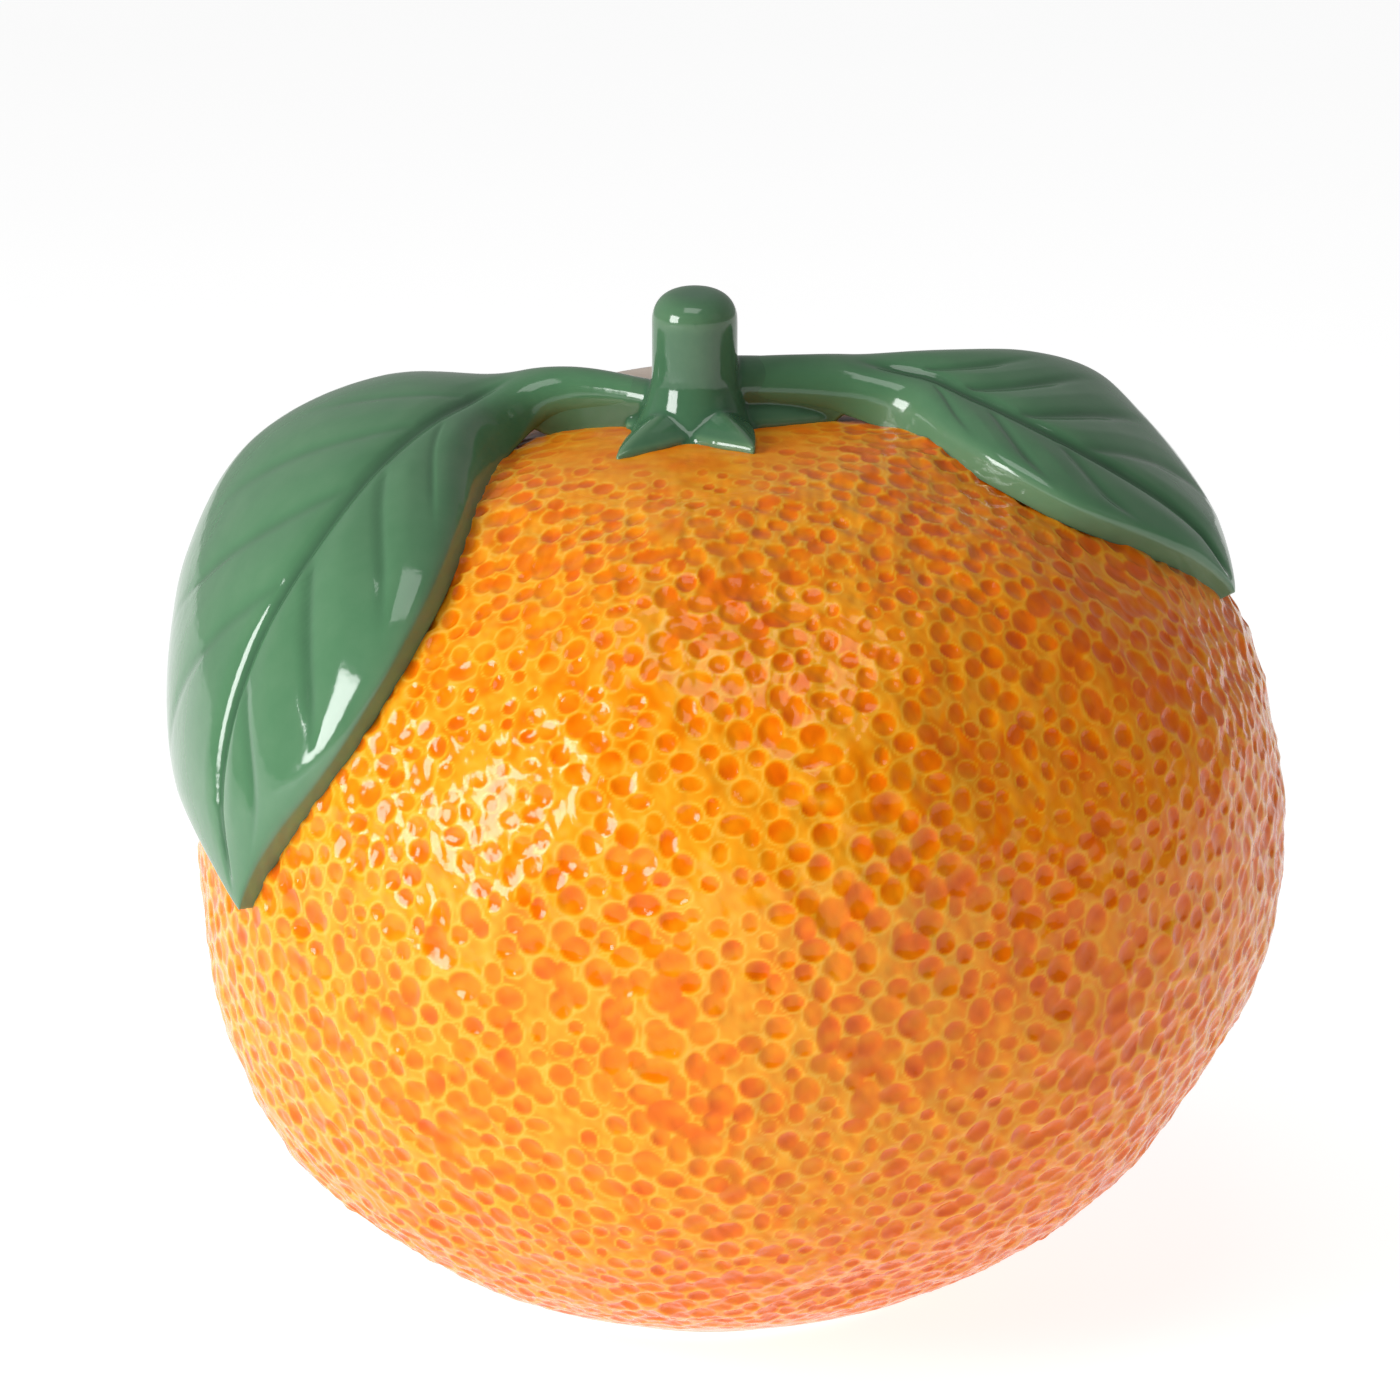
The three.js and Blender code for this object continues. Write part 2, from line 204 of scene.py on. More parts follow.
def ramp(tree, factor, stops):
    node = tree.nodes.new("ShaderNodeValToRGB")
    elements = node.color_ramp.elements
    while len(elements) < len(stops):
        elements.new(0.5)
    for element, (position, colour) in zip(elements, stops):
        element.position = position
        element.color = (*colour, 1)
    tree.links.new(factor, node.inputs["Fac"])
    return node.outputs["Color"]


def noise(tree, scale, detail):
    where = tree.nodes.new("ShaderNodeTexCoord")
    node = tree.nodes.new("ShaderNodeTexNoise")
    node.inputs["Scale"].default_value = scale
    node.inputs["Detail"].default_value = detail
    node.inputs["Roughness"].default_value = 0.55
    tree.links.new(where.outputs["Object"], node.inputs["Vector"])
    return node.outputs["Fac"]


def attribute(tree, name):
    node = tree.nodes.new("ShaderNodeAttribute")
    node.attribute_name = name
    return node.outputs["Fac"]


def calc(tree, operation, a, b):
    node = tree.nodes.new("ShaderNodeMath")
    node.operation = operation
    for socket, value in zip(node.inputs, (a, b)):
        if isinstance(value, (int, float)):
            socket.default_value = value
        else:
            tree.links.new(value, socket)
    return node.outputs[0]


def remap(tree, value, low, high):
    node = tree.nodes.new("ShaderNodeMapRange")
    tree.links.new(value, node.inputs["Value"])
    node.inputs["To Min"].default_value = low
    node.inputs["To Max"].default_value = high
    return node.outputs["Result"]


def add_bump(tree, shader, height, distance):
    node = tree.nodes.new("ShaderNodeBump")
    node.inputs["Strength"].default_value = 1
    node.inputs["Distance"].default_value = distance
    tree.links.new(height, node.inputs["Height"])
    tree.links.new(node.outputs["Normal"], shader.inputs["Normal"])


def peel_material():
    """Orange glaze: deep where it pools in the dimples, pale where it thins over the ridges, and deeper
    still to the right and low down, where shade is painted in.
    """
    material, tree, shader = new_material("orange_glaze", 0.12)
    pooled = calc(tree, "ADD", attribute(tree, "pool"), remap(tree, noise(tree, 260, 4), -0.09, 0.09))
    colour = ramp(
        tree,
        pooled,
        [
            (0.0, (0.92, 0.48, 0.06)),
            (0.25, (0.90, 0.36, 0.014)),
            (0.5, (0.87, 0.25, 0.002)),
            (0.75, (0.83, 0.16, 0.0005)),
            (1.0, (0.74, 0.105, 0.0005)),
        ],
    )
    tree.links.new(colour, shader.inputs["Base Color"])
    rough = remap(tree, noise(tree, 90, 3), 0.07, 0.17)
    dry = calc(tree, "MULTIPLY", attribute(tree, "rubbed"), 0.3)
    tree.links.new(calc(tree, "ADD", rough, dry), shader.inputs["Roughness"])
    add_bump(tree, shader, noise(tree, 420, 3), 0.00006)
    shader.inputs["Specular IOR Level"].default_value = 0.29
    return material


LEAF_GREENS = (0.034, 0.095, 0.046), (0.078, 0.198, 0.096), (0.165, 0.29, 0.165)
STEM_GREENS = (0.026, 0.075, 0.038), (0.056, 0.15, 0.076), (0.14, 0.255, 0.135)


def green_material(name, thick, mid, thin):
    """Green glaze: dark where it pools in grooves and fillets, pale where it thins over edges, and on the
    leaves darker on the underside as painted shade.
    """
    material, tree, shader = new_material(name, 0.1)
    pooled = calc(tree, "ADD", attribute(tree, "pool"), remap(tree, noise(tree, 120, 5), -0.12, 0.12))
    colour = ramp(tree, pooled, [(0.0, thin), (0.45, mid), (1.0, thick)])
    tree.links.new(colour, shader.inputs["Base Color"])
    rough = remap(tree, noise(tree, 70, 3), 0.06, 0.15)
    tree.links.new(rough, shader.inputs["Roughness"])
    add_bump(tree, shader, noise(tree, 300, 2), 0.00005)
    shader.inputs["IOR"].default_value = 1.52
    return material


def liner_material():
    material, tree, shader = new_material("inside_glaze", 0.2)
    colour = ramp(tree, noise(tree, 45, 4), [(0.2, (0.62, 0.50, 0.42)), (0.8, (0.78, 0.68, 0.60))])
    tree.links.new(colour, shader.inputs["Base Color"])
    tree.links.new(remap(tree, noise(tree, 80, 3), 0.12, 0.28), shader.inputs["Roughness"])
    add_bump(tree, shader, noise(tree, 150, 3), 0.0001)
    return material


def clay_material():
    material, tree, shader = new_material("bare_clay", 0.8)
    colour = ramp(tree, noise(tree, 700, 6), [(0.3, (0.62, 0.52, 0.40)), (0.7, (0.74, 0.66, 0.54))])
    tree.links.new(colour, shader.inputs["Base Color"])
    tree.links.new(remap(tree, noise(tree, 300, 4), 0.65, 0.95), shader.inputs["Roughness"])
    add_bump(tree, shader, noise(tree, 1200, 4), 0.00015)
    return material


def fix_facing(piece):
    """Turns the faces outwards if the mesh is inside out."""
    mesh = piece.data
    mesh.calc_loop_triangles()
    count = len(mesh.loop_triangles)
    corners = np.zeros(count * 3, np.int32)
    mesh.loop_triangles.foreach_get("vertices", corners)
    points = np.zeros(len(mesh.vertices) * 3, np.float32)
    mesh.vertices.foreach_get("co", points)
    a, b, c = points.reshape(-1, 3)[corners.reshape(-1, 3)].transpose(1, 0, 2)
    if (a * np.cross(b, c)).sum() < 0:
        mesh.flip_normals()


def place(piece, material, slot, *nodes):
    fix_facing(piece)
    piece.data.materials.append(material)
    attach(piece, "root")
    if nodes:
        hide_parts(*nodes)


# ---- Camera, lights and floor ----
CAMERA_ELEVATION = math.radians(15)
CAMERA_DISTANCE = 900 * MM  # from the core
CAMERA_LENS = 124.46
CAMERA_PAN = math.radians(0.443)  # to the left of the core
CAMERA_TILT = math.radians(1.603)  # above the core


def add_camera():
    camera = bpy.data.objects.new("camera", bpy.data.cameras.new("camera"))
    camera.data.lens = CAMERA_LENS
    camera.data.sensor_width = 36
    core = Vector(((CORE[0] + AXIS_X) * MM, 0, EQUATOR_Z * MM))
    away = Vector((0, -math.cos(CAMERA_ELEVATION), math.sin(CAMERA_ELEVATION)))
    camera.location = core + away * CAMERA_DISTANCE
    pitch = math.pi / 2 - CAMERA_ELEVATION + CAMERA_TILT
    camera.rotation_euler = (pitch, 0, CAMERA_PAN)
    bpy.context.scene.collection.objects.link(camera)
    bpy.context.scene.camera = camera


def add_area(name, bearing, elevation, distance, width, height, radiance):
    """A soft area light aimed at the vase. Its bearing is 0 in front and positive to the right."""
    light = bpy.data.lights.new(name, "AREA")
    light.shape = "RECTANGLE"
    light.size = width
    light.size_y = height
    light.energy = radiance * width * height * math.pi
    lamp = bpy.data.objects.new(name, light)
    turn = math.radians(bearing)
    rise = math.radians(elevation)
    way = Vector((math.sin(turn) * math.cos(rise), -math.cos(turn) * math.cos(rise), math.sin(rise)))
    target = Vector((0, 0, EQUATOR_Z * MM))
    lamp.location = target + way * distance
    lamp.rotation_euler = way.to_track_quat("Z", "Y").to_euler()
    bpy.context.scene.collection.objects.link(lamp)


def add_sky(front, rear):
    """A soft white surround, dimmer in front of the vase than behind it."""
    world = bpy.context.scene.world or bpy.data.worlds.new("studio")
    bpy.context.scene.world = world
    world.use_nodes = True
    tree = world.node_tree
    way = tree.nodes.new("ShaderNodeTexCoord")
    split = tree.nodes.new("ShaderNodeSeparateXYZ")
    tree.links.new(way.outputs["Generated"], split.inputs[0])
    level = tree.nodes.new("ShaderNodeMapRange")
    level.inputs["From Min"].default_value = -0.6
    level.inputs["From Max"].default_value = 0.6
    level.inputs["To Min"].default_value = front
    level.inputs["To Max"].default_value = rear
    tree.links.new(split.outputs["Y"], level.inputs["Value"])
    background = tree.nodes["Background"]
    background.inputs["Color"].default_value = (1, 1, 1, 1)
    tree.links.new(level.outputs["Result"], background.inputs["Strength"])


def add_floor():
    reach = 8  # metres
    corners = [(-reach, -reach, 0), (reach, -reach, 0), (reach, reach, 0), (-reach, reach, 0)]
    mesh = bpy.data.meshes.new("floor")
    mesh.from_pydata(corners, [], [(0, 1, 2, 3)])
    floor = bpy.data.objects.new("floor", mesh)
    bpy.context.scene.collection.objects.link(floor)
    material, tree, shader = new_material("floor_white", 0.9)
    colour = ramp(tree, noise(tree, 3, 2), [(0, (0.44, 0.44, 0.44)), (1, (0.47, 0.47, 0.47))])
    tree.links.new(colour, shader.inputs["Base Color"])
    shader.inputs["Specular IOR Level"].default_value = 0.1
    shader.inputs["Emission Color"].default_value = (1, 1, 1, 1)
    shader.inputs["Emission Strength"].default_value = 0.85
    mesh.materials.append(material)


def add_studio():
    add_sky(front=0.05, rear=0.35)
    add_area("key", bearing=-57, elevation=18, distance=1.3, width=0.54, height=0.6, radiance=15)
    add_area("fill", bearing=62, elevation=25, distance=1.6, width=0.6, height=0.8, radiance=0.2)
    add_area("top", bearing=-15, elevation=68, distance=1.5, width=0.8, height=0.7, radiance=2.8)
    add_floor()
    bpy.context.scene.view_settings.view_transform = "Standard"


# ---- Body ----
BODY_COLUMNS = 1240
CROWN_ROWS = 150
SIDE_ROWS = 430
CROWN_EDGE = 70  # radius out to which the grid fans from the mouth
CROWN_EDGE_X = LEAN * (EQUATOR_Z + CROWN_HEIGHT * 0.8)  # the middle of that circle
SKIN_END = FOOT_HEIGHT + 0.3  # level at which the glazed skin stops above the foot ring
LIP_BLEND = 1.6  # softness of the valley between the crown and the lip


def mouth_margin(x, y):
    """Distance outwards from the clear oval of the mouth."""
    over_x = x - MOUTH_X
    over_y = y - MOUTH_Y
    share = np.hypot(over_x / MOUTH_HALF_WIDTH, over_y / MOUTH_HALF_DEPTH)
    return (share - 1) * np.hypot(over_x, over_y) / share


def lip_top(x, y):
    """The top surface near the mouth before its edge is rounded: the crown and the rolled lip."""
    margin = np.maximum(mouth_margin(x, y), 0)
    turn = np.arctan2(y - MOUTH_Y, x - MOUTH_X)
    crest = LIP_Z + LIP_RISE * np.sin(turn) + LIP_RADIUS
    roll = crest - (margin - LIP_RADIUS) ** 2 / (2 * LIP_RADIUS) * (margin > LIP_RADIUS)
    return soft_max(crown_z(x, y), roll, LIP_BLEND)


def lip_level(x, y):
    """The top surface with its round edge into the mouth."""
    inward = LIP_RADIUS - np.clip(mouth_margin(x, y), 0, LIP_RADIUS)
    return lip_top(x, y) - LIP_RADIUS + np.sqrt(LIP_RADIUS**2 - inward**2)


def fan_out(turns, shares, edge, level):
    """Rings that fan from the mouth's oval out to a circle on the crown."""
    start_x = MOUTH_X + MOUTH_HALF_WIDTH * np.cos(turns)
    start_y = MOUTH_Y + MOUTH_HALF_DEPTH * np.sin(turns)
    end_x = CROWN_EDGE_X + edge * np.cos(turns)
    end_y = edge * np.sin(turns)
    x = mix(start_x[None, :], end_x[None, :], shares[:, None])
    y = mix(start_y[None, :], end_y[None, :], shares[:, None])
    return np.stack([x, y, level(x, y)], -1)


def side_rings(turns, count, inset, start_ring, end_level):
    """Rings from the edge of the fan down the side to a level near the foot."""
    start_angle = np.arcsin(np.clip((start_ring[:, 2] - EQUATOR_Z) / (CROWN_HEIGHT - inset), -1, 1))
    end_angle = -math.asin(min(1, (EQUATOR_Z - end_level) / (BASE_HEIGHT - inset)))
    rings = []
    for share in np.arange(1, count + 1) / count:
        angle = mix(start_angle, end_angle, share)
        upper = angle > 0
        height = np.where(upper, CROWN_HEIGHT, BASE_HEIGHT) - inset
        power = np.where(upper, CROWN_POWER, BASE_POWER)
        z = EQUATOR_Z + height * np.sin(angle)
        radial = (EQUATOR_RADIUS - inset) * (1 - np.abs(np.sin(angle)) ** power) ** (1 / power)
        rings.append(np.stack([LEAN * z + radial * np.cos(turns), radial * np.sin(turns), z], -1))
    return np.array(rings)


def circle(columns):
    """Evenly spread angles round a ring."""
    return np.arange(columns) / columns * 2 * np.pi


def outer_rings():
    """Rings of the smooth skin, from the mouth over the crown and down the side to the foot."""
    turns = circle(BODY_COLUMNS)
    shares = (np.arange(CROWN_ROWS) / (CROWN_ROWS - 1)) ** 1.35
    fan = fan_out(turns, shares, CROWN_EDGE, lip_level)
    edge = fan[-1].copy()
    edge[:, 2] = crown_z(edge[:, 0], edge[:, 1])
    real_turns = np.arctan2(edge[:, 1], edge[:, 0] - LEAN * edge[:, 2])
    side = side_rings(real_turns, SIDE_ROWS, 0, edge, SKIN_END)
    return np.concatenate([fan, side])


LOBES = [  # bearing, half-width in degrees, height, lowest and highest level: soft swellings and hollows
    (-74, 9, 1.2, 60, 158),
    (-63, 6, -1.3, 120, 162),
    (-104, 14, 0.9, 70, 150),
    (-40, 16, 1.0, 40, 150),
    (-20, 9, -0.7, 60, 150),
    (-140, 13, -0.8, 20, 120),
    (10, 15, 0.8, 40, 150),
    (75, 16, 0.9, 50, 150),
    (110, 10, -0.8, 60, 155),
    (150, 18, 0.9, 50, 150),
]


def lumps(points):
    """Slow unevenness of the hand-finished body."""
    x = points[:, 0] - LEAN * points[:, 2]
    bearing = np.degrees(np.arctan2(points[:, 1], x))
    total = 0.45 * waves(points, 60, 14, 1) + 0.22 * waves(points, 26, 18, 2)
    for middle, width, height, low, high in LOBES:
        away = (bearing - middle + 180) % 360 - 180
        span = smoothstep(points[:, 2], low, low + 35) * smoothstep(-points[:, 2], -high, -high + 25)
        total += height * np.exp(-((away / width) ** 2)) * span
    return total


DIMPLE_COUNT = 5900  # over the whole ball, before thinning
DIMPLE_RADII = (1.5, 2.35)
DIMPLE_DEPTHS = (0.1, 0.23)  # shares of the radius
DIMPLE_SHAKE = 0.0062  # share of the ball's radius by which a dimple strays from the lattice
DIMPLES_MISSED = 0.05  # share of the lattice left empty


def scatter_dimples():
    """Places and radii of the dimples: a spiral lattice, shaken, and thinned out round the calyx."""
    order = np.arange(DIMPLE_COUNT) + 0.5
    z = 1 - 2 * order / DIMPLE_COUNT
    turn = np.pi * (1 + math.sqrt(5)) * order
    way = np.stack([np.sqrt(1 - z**2) * np.cos(turn), np.sqrt(1 - z**2) * np.sin(turn), z], -1)
    way += rng.normal(0, DIMPLE_SHAKE, way.shape)
    way /= np.linalg.norm(way, axis=1)[:, None]
    spots = CORE + way * skin_distance(way)[:, None]
    radii = rng.uniform(*DIMPLE_RADII, DIMPLE_COUNT) * (1 + 0.12 * waves(spots, 45, 12, 11))
    from_stem = np.hypot(spots[:, 0] - STEM_X, (spots[:, 1] - STEM_Y) * 0.75)
    thinned = (spots[:, 2] > EQUATOR_Z) & (from_stem < rng.uniform(12, 30, DIMPLE_COUNT))
    kept = ~thinned & (rng.uniform(size=DIMPLE_COUNT) > DIMPLES_MISSED)
    return spots[kept], np.clip(radii[kept], 0.9, 3.0)


def stamp_dimples(points):
    """Depth, glaze pooling and thin-glazed rim at each point of the skin."""
    tree = KDTree(len(points))
    for index, point in enumerate(points):
        tree.insert(point, index)
    tree.balance()
    depth = np.zeros(len(points))
    pool = np.zeros(len(points))
    halo = np.zeros(len(points))
    spots, radii = scatter_dimples()
    depths = rng.uniform(*DIMPLE_DEPTHS, len(spots)) * radii
    strength = rng.uniform(0.55, 1.0, len(spots))
    skews = rng.normal(0, 0.16, (len(spots), 3))
    for spot, radius, deepest, strong, skew in zip(spots, radii, depths, strength, skews):
        near = tree.find_range(spot, radius * 1.7)
        if not near:
            continue
        where = np.array([item[1] for item in near])
        away = np.linalg.norm((points[where] - spot) * (1 + skew), axis=1) / radius
        bowl = np.clip(1 - away**2.4, 0, 1)
        depth[where] = np.maximum(depth[where], deepest * bowl)
        pool[where] = np.maximum(pool[where], strong * smoothstep(-away, -1.04, -0.82))
        ring = np.exp(-(((away - 1.16) / 0.13) ** 2))
        halo[where] = np.maximum(halo[where], ring)
    return depth, pool, halo


def finished_skin(outer):
    """The skin's points with their relief, the thickness of glaze on them with painted shade added to the
    right and low down, and how far they are rubbed.
    """
    smooth = outer.reshape(-1, 3)
    normals = grid_normals(outer).reshape(-1, 3)
    margin = mouth_margin(smooth[:, 0], smooth[:, 1])
    top = smooth[:, 2] > EQUATOR_Z
    from_stem = np.hypot(smooth[:, 0] - STEM_X, smooth[:, 1] - STEM_Y)
    smeared = np.where(top, smoothstep(-from_stem, -34, -16), 0)
    rubbed = np.where(top, smoothstep(-from_stem, -48, -24), 0)
    # Dimples and ripples fade out at the lip and the foot, and are rubbed down round the stem.
    relieved = np.where(top, smoothstep(margin, 4, 12), 1) * smoothstep(smooth[:, 2], 3, 12)
    depth, pool, halo = stamp_dimples(smooth)
    ripples = 0.12 * waves(smooth, 7, 30, 5) + 0.05 * waves(smooth, 3.2, 30, 6)
    relief = (ripples - depth) * relieved * (1 - 0.7 * rubbed)
    push = lumps(smooth) * np.where(top, smoothstep(margin, 2, 25), 1) * smoothstep(smooth[:, 2], 3, 20)
    moved = smooth + normals * ((push * (1 - 0.6 * rubbed) + relief)[:, None])
    # Glaze is thin round each dimple and pools in it, and runs in streaks by the stem. Painted shade
    # darkens it low down and to the right.
    blotches = smoothstep(waves(smooth * [1, 1, 0.45], 9, 40, 7), -0.2, 1.4)
    ground = 0.33 + 0.24 * blotches + 0.06 * waves(smooth, 3, 30, 8)
    pooled = 0.7 + 0.1 * waves(smooth, 5, 20, 9)
    glaze = mix(ground * (1 - 0.75 * halo * (1 - pool)), pooled, pool * relieved)
    streaks = 0.5 + 0.16 * waves(smooth * [0.3, 1, 1], 4, 40, 12)
    # Painted shade: the glaze is darkened to the right, away from the key light, and low down on the body.
    painted_shade = 0.15 * smoothstep(smooth[:, 0], 0, 75) + 0.14 * smoothstep(-smooth[:, 2], -60, -15)
    glaze = np.clip(mix(glaze, streaks, 0.6 * smeared) + painted_shade, 0, 1)
    return moved.reshape(outer.shape), glaze, rubbed


def add_body(material):
    outer, glaze, rubbed = finished_skin(outer_rings())
    foot = foot_rings(outer[-1])
    rings = np.concatenate([foot[::-1], outer[::-1], inner_rings(circle(BODY_COLUMNS))])
    low_hub = [LEAN * RECESS_Z, 0, RECESS_Z]
    high_hub = [LEAN * FLOOR_Z, 0, FLOOR_Z]
    body = add_mesh("vase_body", *closed_skin(rings, low_hub, high_hub))
    start = len(foot) * BODY_COLUMNS
    end = start + len(outer) * BODY_COLUMNS
    # glaze holds the glaze's thickness and the painted shade low down and to the right; the pool attribute
    # carries both.
    for name, values, elsewhere in (("pool", glaze, 0.3), ("rubbed", rubbed, 0)):
        painted = np.full(len(body.data.vertices), float(elsewhere))
        painted[start:end] = values.reshape(len(outer), -1)[::-1].ravel()
        paint(body, name, painted)
    place(body, material, "orange_glaze", "body_shell")


def foot_rings(edge):
    """Rings from the skin's lowest ring in under the body and up into the recess."""
    middle = LEAN * FOOT_HEIGHT
    turn = np.arctan2(edge[:, 1], edge[:, 0] - middle)
    profile = [
        (FOOT_INNER, SKIN_END),
        (FOOT_INNER, RECESS_Z - 0.8),
        (FOOT_INNER - 0.8, RECESS_Z),
        (8, RECESS_Z),
    ]
    rings = []
    for radius, z in profile:
        x = middle + radius * np.cos(turn)
        rings.append(np.stack([x, radius * np.sin(turn), np.full(len(turn), z)], -1))
    return np.array(rings)


def inner_rings(turns, grow=0.0):
    """Rings down the neck and round the inside wall to the floor, set inwards by a little more."""
    inset = WALL + grow
    fan = fan_out(turns, (np.arange(12) / 11) ** 1.2, CROWN_EDGE - WALL, lambda x, y: crown_z(x, y, inset))
    edge = fan[-1]
    real_turns = np.arctan2(edge[:, 1], edge[:, 0] - LEAN * edge[:, 2])
    side = side_rings(real_turns, 40, inset, edge, FLOOR_Z + grow)
    hub = np.array([LEAN * FLOOR_Z, 0, FLOOR_Z + grow])
    floor = np.stack([mix(side[-1], hub, share) for share in (0.3, 0.6, 0.85)])
    return np.concatenate([fan, side, floor])


LINER_FACE, LINER_BACK = 0.3, -0.4  # how far the liner's two sides stand in from the wall's inside
LINER_OVER_LIP = 0.14


def add_liner(material):
    """Pale glaze on the inside wall and over the lip's crest, as a thin closed skin."""
    turns = circle(300)
    roll = LIP_RADIUS + LINER_OVER_LIP
    rim = []
    for round_the_edge in np.radians((112, 100, 90, 72, 54, 36, 18, 0)):
        out = LIP_RADIUS - roll * math.cos(round_the_edge)
        x = MOUTH_X + (MOUTH_HALF_WIDTH + out) * np.cos(turns)
        y = MOUTH_Y + (MOUTH_HALF_DEPTH + out) * np.sin(turns)
        edge = roll * math.sin(round_the_edge) - LIP_RADIUS
        rim.append(np.stack([x, y, lip_top(x, y) + edge], -1))
    back = inner_rings(turns, LINER_BACK)
    rings = np.concatenate([back[::-1], np.array(rim), inner_rings(turns, LINER_FACE)])
    low_hub = [LEAN * FLOOR_Z, 0, FLOOR_Z + LINER_BACK]
    high_hub = [LEAN * FLOOR_Z, 0, FLOOR_Z + LINER_FACE]
    liner = add_mesh("inside_liner", *closed_skin(rings, low_hub, high_hub))
    place(liner, material, "inside_glaze")


def add_foot(material):
    """The bare clay foot ring, turned and rubbed smooth at its edges."""
    profile = [
        (FOOT_INNER, FOOT_HEIGHT + 0.25),
        (FOOT_INNER, 0.7),
        (FOOT_INNER + 0.2, 0.25),
        (FOOT_INNER + 0.7, 0.0),
        (FOOT_OUTER - 0.6, 0.0),
        (FOOT_OUTER + 0.1, 0.12),
        (FOOT_OUTER + 0.8, 0.5),
        (FOOT_OUTER + 3.4, FOOT_HEIGHT),
        (FOOT_OUTER + 3.6, FOOT_HEIGHT + 0.25),
    ]
    turns = circle(256)
    wobble = 0.12 * np.sin(3 * turns + 1) + 0.08 * np.sin(7 * turns)
    rings = []
    for radius, z in profile:
        reach = radius + wobble * (radius > FOOT_INNER + 1)
        rings.append(np.stack([reach * np.cos(turns), reach * np.sin(turns), np.full(len(turns), z)], -1))
    rings = np.array(rings)
    rows, columns = rings.shape[:2]
    j = np.arange(columns)
    k = (j + 1) % columns
    last_row = (rows - 1) * columns
    closing = np.stack([last_row + j, last_row + k, k, j], -1)
    quads = np.concatenate([grid_quads(rows, columns), closing])
    foot = add_mesh("foot", rings.reshape(-1, 3), quads, smooth=False)
    place(foot, material, "bare_clay", "foot_ring")


# ---- Leaf sprigs ----
# Three rails, from the stem to the leaf tip: the margin near the fruit's front, the midrib, and the far
# margin. Each knot is a place on the fruit (wrapped distances from the top, to the east and the north)
# and the height of the middle of the leaf's thickness above the skin. Where the root's glaze and the stalk
# end, and where the veins start, is told as shares of the way to the tip. A vein also has a strength, and
# lies in the near half (-1) or the far half (1).
LEFT = {
    "near": [
        (-10, -15.5, 3.2), (-33, -6.5, 6.2), (-44, -12.5, 4), (-48, -28.5, 3),
        (-50.5, -47, 2.5), (-56.5, -64.5, 2.5), (-69, -76.5, 2.5), (-87.5, -81, 2.5), (-119, -75, 2.5),
    ],
    "midrib": [
        (-10, -11, 3.4), (-32.5, -1.8, 6.8), (-43.5, -5.5, 8), (-51.5, -17, 10),
        (-61, -30, 10.5), (-73, -42.5, 9.5), (-89, -50.5, 7), (-105.5, -60, 4.5), (-119, -75, 2.5),
    ],
    "far": [
        (-10, -6, 3.4), (-31.5, 3.2, 7.6), (-43, 7.5, 9.5), (-59, 9.5, 17.5),
        (-80, 9.5, 21), (-99, 7, 16), (-112, 2.5, 10.5), (-127, -18.5, 3.5), (-119, -75, 2.5),
    ],
    "root_thickness": 6.4,
    "root_end": 0.22,
    "stalk_end": 0.2,
    "veins": {-1: [(0.33, 0.5), (0.47, 0.8), (0.62, 1.1), (0.76, 0.7)],
              1: [(0.28, 0.35), (0.40, 0.5), (0.53, 0.6), (0.66, 0.5)]},
    "vein_slope": 0.24,
}
RIGHT = {
    "near": [
        (-5, -15.5, 6), (13.5, -11.2, 5), (24, -10.5, 4), (32, -14, 3),
        (38.5, -24, 2.5), (48.5, -34, 2.5), (61.5, -38, 2.5), (77.5, -31, 2.5), (95, -17, 2.5),
    ],
    "midrib": [
        (-5, -11, 7.2), (12.5, -6.5, 6.6), (22, -5, 7), (32.5, -7, 8),
        (42, -13.5, 7), (52.5, -20, 6.5), (65, -22, 5.5), (80.5, -19, 4), (95, -17, 2.5),
    ],
    "far": [
        (-5, -6.5, 7.5), (11.5, -1.8, 8), (22.5, 3, 8), (37, 4, 12),
        (49, 10, 15), (59.5, 14, 15.5), (69.5, 12, 12), (84.5, 3, 6.5), (95, -17, 2.5),
    ],
    "root_thickness": 8.8,
    "root_end": 0.275,
    "stalk_end": 0.24,
    "veins": {-1: [(0.36, 0.5), (0.50, 0.7), (0.64, 0.7)],
              1: [(0.34, 0.8), (0.45, 1.0), (0.57, 1.0), (0.69, 0.7)]},
    "vein_slope": 0.22,
}
RAILS = ("near", "midrib", "far")
LEAF_STATIONS = 340
LEAF_COLUMNS = 110  # across each face
TIP_SHARE = 0.9985  # where the blunt tip is closed
STALK_THICKNESS = 9.2
BLADE_THICKNESS = 5
SEAT = -0.6  # the underside sinks this far into the glaze where the leaf is luted on
MIDRIB_DEPTH, MIDRIB_WIDTH = 0.95, 1.15
VEIN_DEPTH, VEIN_WIDTH = 0.6, 1.3
SWELL, SWELL_SPAN = 0.9, 5.0  # height of the blade between veins, and how far beside a vein it starts


def rail(knots, shares):
    """Points on a uniform Catmull-Rom curve through the knots."""
    knots = np.asarray(knots, float)
    spans = len(knots) - 1
    padded = np.vstack([2 * knots[0] - knots[1], knots, 2 * knots[-1] - knots[-2]])
    along = np.clip(shares, 0, 1) * spans
    index = np.minimum(along.astype(int), spans - 1)
    t = (along - index)[:, None]
    before, start, end, after = (padded[index + step] for step in range(4))
    leave = (end - before) / 2
    arrive = (after - start) / 2
    return (
        start
        + leave * t
        + (3 * (end - start) - 2 * leave - arrive) * t**2
        + (2 * (start - end) + leave + arrive) * t**3
    )


def stalk_thickness(sprig, u):
    return mix(sprig["root_thickness"], STALK_THICKNESS, smoothstep(u, 0, 0.11))


